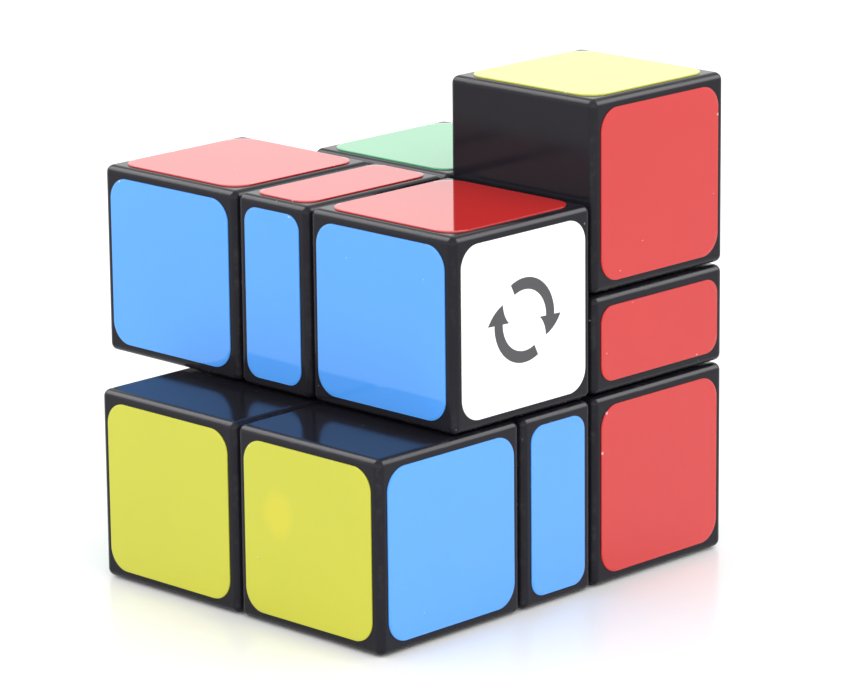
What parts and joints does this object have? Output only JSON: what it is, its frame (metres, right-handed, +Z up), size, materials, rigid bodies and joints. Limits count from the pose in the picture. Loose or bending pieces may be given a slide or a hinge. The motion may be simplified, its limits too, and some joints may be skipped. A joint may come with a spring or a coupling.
{
  "type": "twisty puzzle",
  "caption": "Shape-shifting twisty puzzle of glossy black blocks and thin slabs with coloured stickers, caught after two quarter turns; its halves turn about a hidden core.",
  "frame": {"origin": "middle of the bottom face of the puzzle's bounding box, on the surface it stands on", "axes": "+Z up; +X towards the right-hand face and -Y towards the front face of the blocks; the three turning axes are parallel to X, Y and Z and meet at the core, 6.5 mm right of, 6.5 mm behind and 25 mm above the origin"},
  "size_m": [0.063, 0.063, 0.063],
  "materials": {
    "black_plastic": "polished black moulding with softly rounded edges",
    "inner_plastic": "as-moulded black plastic",
    "nylon": "as-moulded black plastic, slightly waxy",
    "screw_steel": "zinc-plated steel",
    "washer_steel": "bright stamped steel",
    "spring_steel": "drawn spring wire",
    "sticker_yellow": "flat glossy vinyl sticker",
    "sticker_blue": "flat glossy vinyl sticker",
    "sticker_green": "flat glossy vinyl sticker",
    "sticker_red": "flat glossy vinyl sticker",
    "sticker_orange": "flat glossy vinyl sticker",
    "sticker_white": "flat glossy vinyl sticker"
  },
  "bodies": {
    "base": {"front_left_shell": "black_plastic", "front_left_cover": "inner_plastic", "slab_low_left": "black_plastic", "core": "nylon", "wedges_base": "nylon", "tension_screws": "screw_steel", "tension_washers": "washer_steel", "tension_springs": "spring_steel", "base_yellow": "sticker_yellow", "base_green": "sticker_green", "base_orange": "sticker_orange"},
    "right": {"front_right_shell": "black_plastic", "front_right_cover": "inner_plastic", "slab_low_right": "black_plastic", "cap_right": "nylon", "wedges_right": "nylon", "right_yellow": "sticker_yellow", "right_blue": "sticker_blue", "right_orange": "sticker_orange"},
    "back": {"back_left_shell": "black_plastic", "back_left_foot": "inner_plastic", "cap_back": "nylon", "wedges_back": "nylon", "back_orange": "sticker_orange", "back_white": "sticker_white", "back_blue": "sticker_blue"},
    "back_right": {"back_right_shell": "black_plastic", "back_right_foot": "inner_plastic", "wedge_back_right": "nylon", "back_right_red": "sticker_red", "back_right_green": "sticker_green", "back_right_white": "sticker_white"},
    "top": {"top_left_shell": "black_plastic", "top_left_cover": "inner_plastic", "slab_top": "black_plastic", "cap_top": "nylon", "wedges_top": "nylon", "top_blue": "sticker_blue", "top_red": "sticker_red", "top_yellow": "sticker_yellow"},
    "top_front": {"top_front_shell": "black_plastic", "top_front_foot": "inner_plastic", "wedge_top_right": "nylon", "top_front_blue": "sticker_blue", "top_front_red": "sticker_red", "top_front_white": "sticker_white"},
    "top_back": {"top_back_shell": "black_plastic", "top_back_foot": "inner_plastic", "wedge_top_back": "nylon", "top_back_green": "sticker_green", "top_back_orange": "sticker_orange", "top_back_white": "sticker_white"},
    "mast": {"mast_shell": "black_plastic", "mast_cover": "inner_plastic", "slab_mast": "black_plastic", "mast_red": "sticker_red", "mast_green": "sticker_green", "mast_yellow": "sticker_yellow"}
  },
  "joints": [
    {"name": "top_turn", "type": "hinge", "parent": "base", "child": "top", "pos_m": [0.0065, 0.0065, 0.025], "axis": [0, 0, 1], "continuous": true},
    {"name": "back_turn", "type": "hinge", "parent": "base", "child": "back", "pos_m": [0.0065, 0.0065, 0.025], "axis": [0, 1, 0], "range_deg": [-360, 360]},
    {"name": "right_turn", "type": "hinge", "parent": "base", "child": "right", "pos_m": [0.0065, 0.0065, 0.025], "axis": [1, 0, 0], "range_deg": [-360, 360]},
    {"name": "back_turn_top", "type": "hinge", "parent": "top", "child": "top_back", "pos_m": [0.0065, 0.0065, 0.025], "axis": [0, 1, 0], "range_deg": [-360, 360]},
    {"name": "right_turn_back", "type": "hinge", "parent": "back", "child": "back_right", "pos_m": [0.0065, 0.0065, 0.025], "axis": [1, 0, 0], "range_deg": [-360, 360]},
    {"name": "right_turn_top", "type": "hinge", "parent": "top", "child": "top_front", "pos_m": [0.0065, 0.0065, 0.025], "axis": [1, 0, 0], "range_deg": [-360, 360]},
    {"name": "right_turn_mast", "type": "hinge", "parent": "top_back", "child": "mast", "pos_m": [0.0065, 0.0065, 0.025], "axis": [1, 0, 0], "range_deg": [-360, 360]}
  ],
  "couplings": [
    {"joint": "back_turn_top", "follows": "back_turn", "ratio": 1},
    {"joint": "right_turn_back", "follows": "right_turn", "ratio": 1},
    {"joint": "right_turn_top", "follows": "right_turn", "ratio": 1},
    {"joint": "right_turn_mast", "follows": "right_turn", "ratio": 1}
  ]
}
